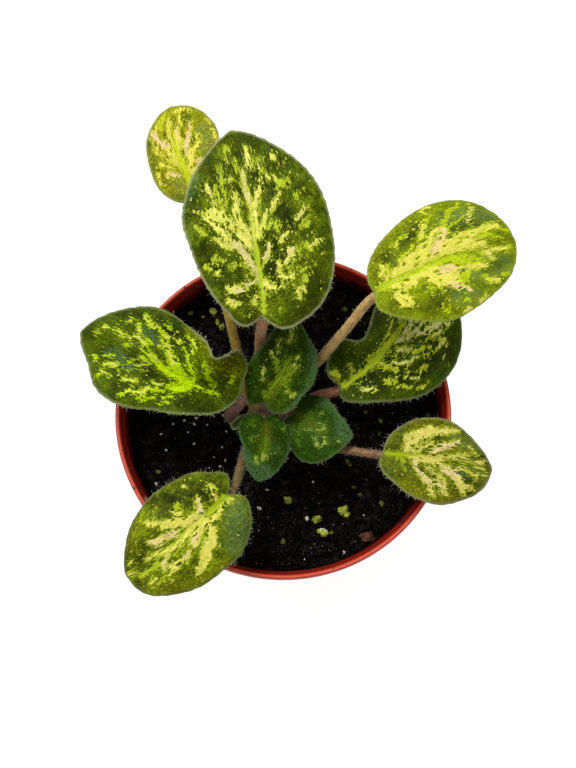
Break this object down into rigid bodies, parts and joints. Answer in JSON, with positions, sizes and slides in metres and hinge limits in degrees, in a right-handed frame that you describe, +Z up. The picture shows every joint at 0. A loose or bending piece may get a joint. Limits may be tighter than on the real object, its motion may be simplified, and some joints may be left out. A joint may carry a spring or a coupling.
{
  "type": "potted african violet",
  "caption": "Small potted african violet with velvety variegated oval leaves on fleshy stalks, in a tapered round plastic nursery pot of dark soil.",
  "frame": {"origin": "centre of the flat base of the pot", "axes": "+Z up out of the pot, +Y towards the two leaves at the back, +X to the right of them"},
  "size_m": [0.1245, 0.1468, 0.1227],
  "materials": {
    "pot_plastic": "satin terracotta red, thin moulded wall",
    "peat": "moist dark peat with perlite and pale grains",
    "crown_bark": "rough short stem",
    "leaf_green": "velvety green with lime and cream streaks",
    "leaf_young": "velvety deep green with a greyish edge",
    "stalk_tan": "satin, finely hairy"
  },
  "bodies": {
    "root": {"pot": "pot_plastic", "soil": "peat", "crown": "crown_bark", "blade_back_left": "leaf_green", "stalk_back_left": "stalk_tan", "blade_back": "leaf_green", "stalk_back": "stalk_tan", "blade_left": "leaf_green", "stalk_left": "stalk_tan", "blade_right_high": "leaf_green", "stalk_right_high": "stalk_tan", "blade_right_low": "leaf_green", "stalk_right_low": "stalk_tan", "blade_front_right": "leaf_green", "stalk_front_right": "stalk_tan", "blade_front_left": "leaf_green", "stalk_front_left": "stalk_tan", "blade_heart_back": "leaf_young", "stalk_heart_back": "stalk_tan", "blade_heart_right": "leaf_young", "stalk_heart_right": "stalk_tan", "blade_heart_front": "leaf_young", "stalk_heart_front": "stalk_tan", "blade_bud": "leaf_young", "stalk_bud": "stalk_tan"}
  },
  "joints": []
}
